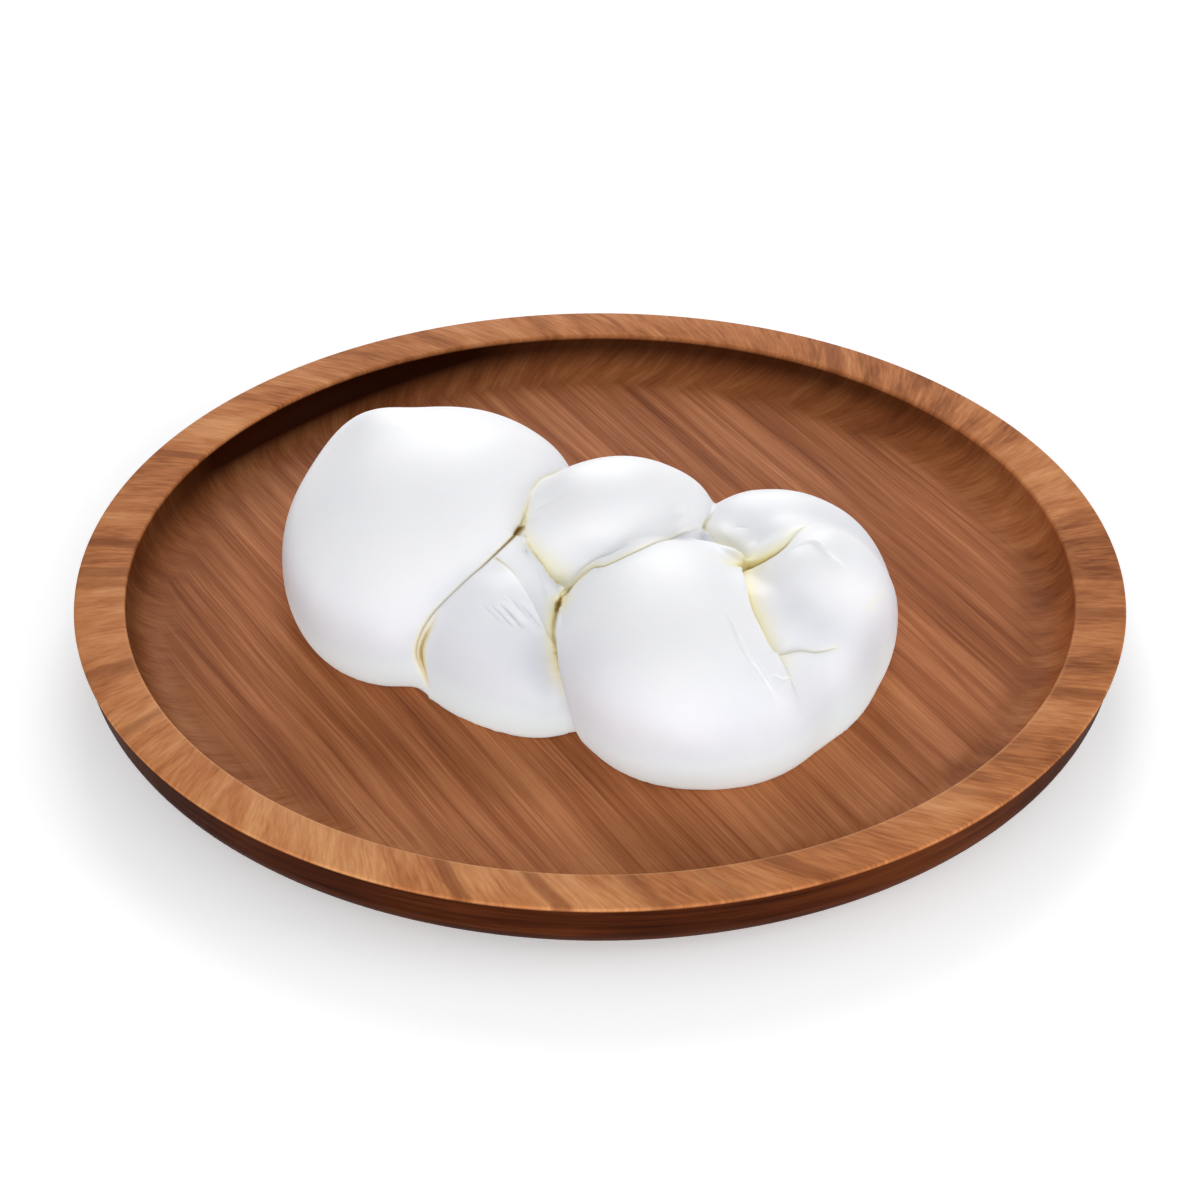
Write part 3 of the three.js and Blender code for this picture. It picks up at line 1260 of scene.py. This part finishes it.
    def build(self) -> Piece:
        """Shapes the braid and dresses it.

        Returns:
            The braid.
        """
        piece = self.form()
        self._refine(piece)
        self._seam(piece)
        Bench.unfold(piece, self.sharpest_fold, self.fold_rounds)
        self._rest(piece)
        piece.data.materials.append(CheeseFinish().build())
        return piece

    def form(self) -> Piece:
        """Fuses the rolls and fills the valleys between them.

        Returns:
            The plain braid, without its seams.
        """
        balls = [self._roll(roll) for roll in self.rolls]
        trees = [Bench.tree(ball) for ball in balls]
        balls += [self._roll(core) for core in self.cores]
        piece = Bench.join(balls, "braid_cheese")
        Bench.modify(piece, "REMESH", mode="VOXEL", voxel_size=self.voxel * MM, use_smooth_shade=True)
        apart, melted = self._pressing(self._reach(Bench.points(piece), trees))
        Bench.soften(piece, bell(apart, self.press_reach), self.press_steps)
        Bench.soften(piece, melted * bell(apart, self.melt_reach), self.melt_steps)
        points, normals = Bench.points(piece), Bench.normals(piece)
        moved = points + self.plumpness * normals
        for swell in self.swells:
            moved += swell.shift(points, normals)
        for fill in self.fills:
            moved += fill.shift(points)
        Bench.move(piece, moved)
        Bench.modify(piece, "SMOOTH", factor=0.5, iterations=4)
        for steps in sorted({fill.steps for fill in self.fills}):
            near = [fill.nearness(points) for fill in self.fills if fill.steps == steps]
            Bench.soften(piece, np.max(near, axis=0), steps)
        self._rest(piece)
        return piece

    def _roll(self, roll: Roll) -> Piece:
        """Shapes one roll from a ball.

        Args:
            roll: The roll.

        Returns:
            Its object.
        """
        ball = Bench.ball(f"roll_{roll.name}", self.ball_segments, self.ball_rings)
        lowering = np.array([0.0, 0.0, self.rest_height - self.sag])
        Bench.move(ball, roll.shape(Bench.points(ball) * MM) + lowering)
        bpy.context.view_layer.update()
        return ball

    def _reach(self, points: Array, trees: Sequence[BVHTree]) -> Array:
        """Distance of each point from each roll.

        Args:
            points: The points.
            trees: The rolls' surfaces.

        Returns:
            One row for each point and one column for each roll, with the far distance as the most.
        """
        found = np.full((len(points), len(trees)), self.far)
        for row, point in enumerate(points * MM):
            spot = Vector(point)
            for column, tree in enumerate(trees):
                distance = tree.find_nearest(spot, self.far * MM)[3]
                if distance is not None:
                    found[row, column] = distance / MM
        return found

    def _pressing(self, reach: Array) -> Tuple[Array, Array]:
        """How near the next roll is to each point.

        Args:
            reach: Distances of the points from the rolls.

        Returns:
            The distance from the next roll, and 1 where that roll has run into the point's own one.
        """
        order = np.argsort(reach, axis=1)
        apart = np.take_along_axis(reach, order[:, 1:2], axis=1)[:, 0]
        numbers = {roll.name: number for number, roll in enumerate(self.rolls)}
        melted = np.zeros(len(reach))
        for pair in self.fused:
            both = [numbers[name] for name in pair]
            melted[np.isin(order[:, :2], both).all(axis=1)] = 1.0
        return apart, melted

    def _refine(self, piece: Piece) -> None:
        """Makes the mesh finer along the seams.

        Args:
            piece: The braid.
        """
        tree = Bench.tree(piece)
        lines = np.vstack([seam.drape(tree)[0][::2] for seam in self.seams if seam.depth])
        for band in self.fine_bands:
            Bench.subdivide(piece, nearest(Bench.points(piece), lines)[1] < band)
        Bench.modify(piece, "SMOOTH", factor=0.5, iterations=3)

    def _seam(self, piece: Piece) -> None:
        """Presses the seams into the skin and paints how yellow they are and how much shade lies in them.

        Args:
            piece: The braid.
        """
        points, normals = Bench.points(piece), Bench.normals(piece)
        tree = Bench.tree(piece)
        raised, ridge, groove, yellow, dark = (np.zeros(len(points)) for _ in range(5))
        for seam in self.seams:
            touch = seam.touch(points, tree)
            rows = touch.rows
            raised[rows] += touch.raised
            marks = ((ridge, -touch.cut), (groove, touch.cut), (yellow, touch.yellow), (dark, touch.dark))
            for most, mark in marks:
                most[rows] = np.maximum(most[rows], mark)
        Bench.move(piece, points + (raised + ridge - groove)[:, None] * normals)
        Bench.paint(piece, "stain", yellow)
        # Painted shade in the folds, the hollows and the shaded patches.
        Bench.paint(piece, "seam_shade", dark)

    def _rest(self, piece: Piece) -> None:
        """Flattens the braid where it lies on the floor.

        Args:
            piece: The braid.
        """
        points = Bench.points(piece)
        points[:, 2] = np.maximum(points[:, 2], self.rest_height)
        Bench.move(piece, points)


@dataclass(frozen=True)
class Panel:
    """A square light panel, with the length of its side and its power in watts."""

    name: str
    place: Triple
    size: float
    power: float


@dataclass
class Studio:
    """Pale floor, soft light and the photograph's camera."""

    aim: Triple = (0.0, -11.3, 18.0)
    distance: float = 980.0
    elevation: float = 34.65
    focal_pixels: float = 3695.5
    image_pixels: float = 1200.0
    film_width: float = 36.0
    sight: float = 20000.0
    floor_size: float = 8000.0
    floor_tone: Colour = (0.93, 0.93, 0.93, 1.0)
    floor_glow: float = 0.36
    room_tone: Colour = (0.97, 0.98, 1.0, 1.0)
    room_glow: float = 0.45
    panels: Tuple[Panel, ...] = (
        Panel("back_panel", (0.0, 1500.0, 700.0), 800.0, 13.5),
        Panel("front_panel", (0.0, -1500.0, 330.0), 600.0, 11.0),
        Panel("right_panel", (1500.0, -200.0, 600.0), 800.0, 5.8),
        Panel("left_panel", (-1500.0, -200.0, 600.0), 800.0, 1.0),
    )

    def build(self) -> None:
        """Sets the stage."""
        self._floor()
        self._camera()
        self._light()

    def _floor(self) -> None:
        """Lays the floor that the board stands on."""
        Bench.clear()
        bpy.ops.mesh.primitive_grid_add(x_subdivisions=2, y_subdivisions=2, size=self.floor_size * MM)
        floor = Bench.named("studio_floor")
        g = Graph("pale_floor")
        g.set(Base_Color=self.floor_tone, Roughness=0.9, Specular_IOR_Level=0.1)
        g.set(Emission_Color=(1.0, 1.0, 1.0, 1.0), Emission_Strength=self.floor_glow)
        floor.data.materials.append(g.material)

    def _camera(self) -> None:
        """Places the camera at the photograph's angle."""
        lens = bpy.data.cameras.new("photo_camera")
        lens.sensor_width = self.film_width
        lens.lens = self.film_width * self.focal_pixels / self.image_pixels
        lens.clip_end = self.sight * MM
        rise = math.radians(self.elevation)
        back = Vector((0.0, -math.cos(rise), math.sin(rise)))
        bpy.context.scene.camera = self._hang(lens, Vector(self.aim) + back * self.distance)

    def _light(self) -> None:
        """Lights the scene from all round, and most from behind and in front."""
        scene = bpy.context.scene
        scene.view_settings.view_transform = "Standard"
        world = bpy.data.worlds.new("soft_room")
        world.use_nodes = True
        room = world.node_tree.nodes["Background"]
        room.inputs["Color"].default_value = self.room_tone
        room.inputs["Strength"].default_value = self.room_glow
        scene.world = world
        for panel in self.panels:
            lamp = bpy.data.lights.new(panel.name, "AREA")
            lamp.size = panel.size * MM
            lamp.energy = panel.power
            self._hang(lamp, Vector(panel.place))

    def _hang(self, data: bpy.types.ID, place: Vector) -> Piece:
        """Hangs a camera or a lamp so that it faces the board.

        Args:
            data: The camera or the lamp.
            place: Where it hangs.

        Returns:
            Its object.
        """
        held = bpy.data.objects.new(data.name, data)
        held.location = place * MM
        held.rotation_euler = (Vector(self.aim) - place).to_track_quat("-Z", "Y").to_euler()
        bpy.context.scene.collection.objects.link(held)
        return held


def dress(piece: Piece, node: str) -> None:
    """Puts a finished piece in the part's frame.

    Args:
        piece: The finished piece.
        node: The CAD node that it stands for.
    """
    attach(piece, "root")
    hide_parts(node)
    LOG.info("%s stands for %s with %d faces", piece.name, node, len(piece.data.polygons))


def main() -> None:
    """Builds the board, the braid and the stage, and logs each piece's face count."""
    logging.basicConfig(level=logging.INFO, format="%(message)s")
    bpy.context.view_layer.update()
    board = Board()
    dress(board.build(), "board")
    dress(Braid(rest_height=board.floor_height + RESTING_GAP).build(), "braid")
    Studio().build()


if __name__ == "__main__":
    main()
